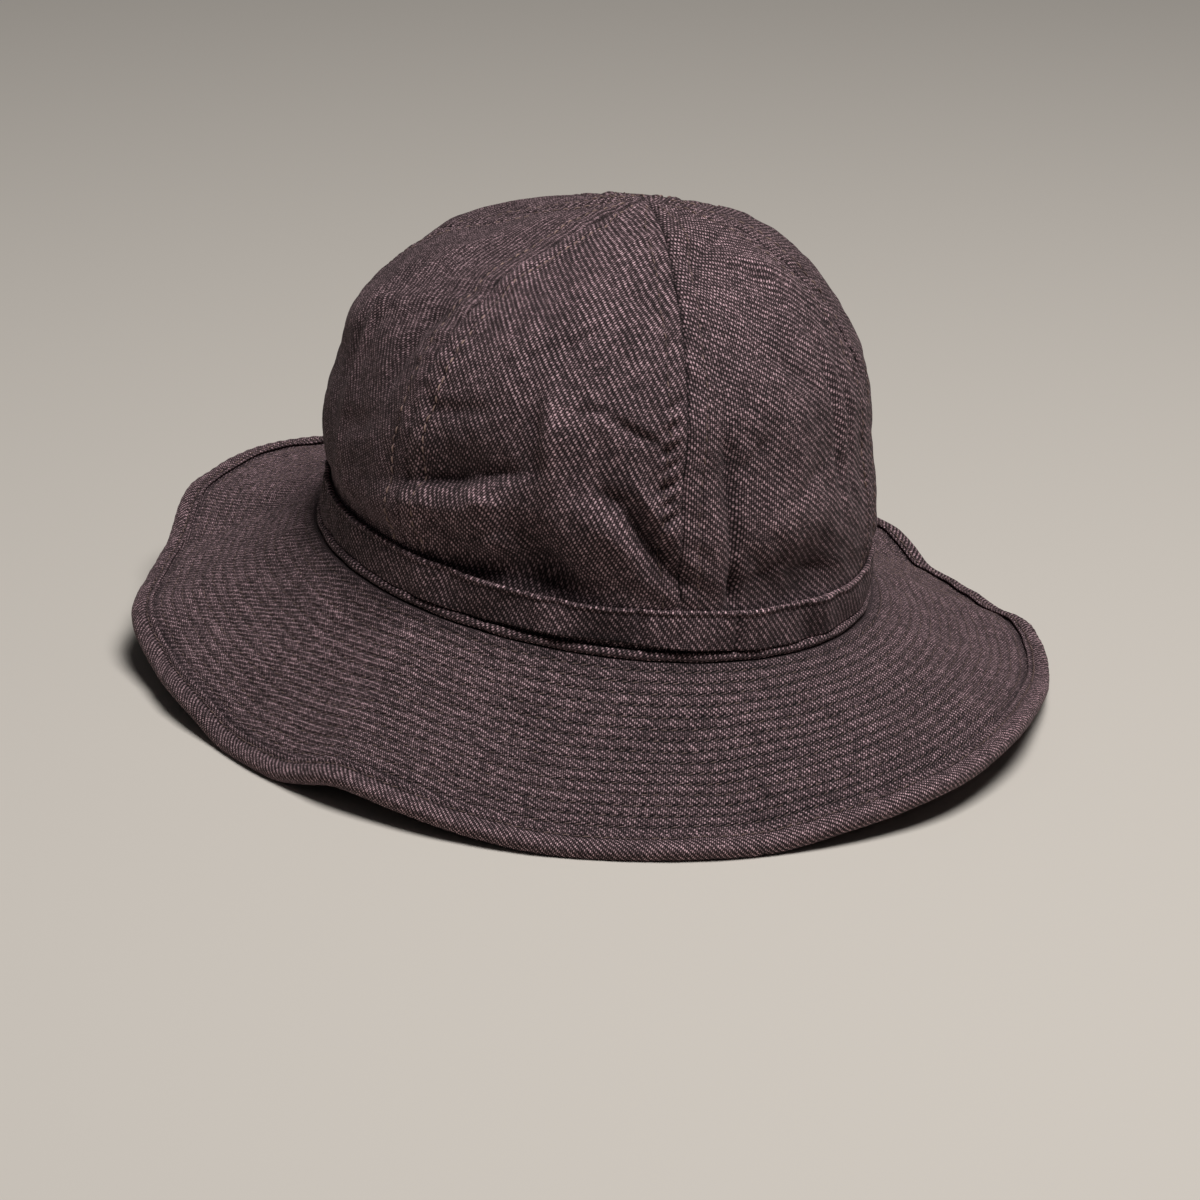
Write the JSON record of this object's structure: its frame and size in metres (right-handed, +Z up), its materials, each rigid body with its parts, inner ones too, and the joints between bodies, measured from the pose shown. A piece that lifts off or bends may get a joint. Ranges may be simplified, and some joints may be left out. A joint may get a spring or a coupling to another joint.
{
  "type": "fatigue hat",
  "caption": "Soft cloth fatigue hat with a panelled round crown, a narrow band and a wavy stitched brim with a bound edge.",
  "frame": {"origin": "middle of the footprint on the floor plane the hat rests on", "axes": "+Z up, -Y towards the crown seam that faces the viewer, +X to that viewer's right"},
  "size_m": [0.2894, 0.314, 0.1536],
  "materials": {
    "twill": "matt brown linen twill",
    "edge_twill": "matt brown twill cut on the bias"
  },
  "bodies": {
    "root": {"crown_panel_1": "twill", "crown_panel_2": "twill", "crown_panel_3": "twill", "crown_panel_4": "twill", "crown_panel_5": "twill", "crown_panel_6": "twill", "hat_band": "twill", "brim_welt": "edge_twill", "brim": "twill", "brim_binding": "edge_twill"}
  },
  "joints": []
}
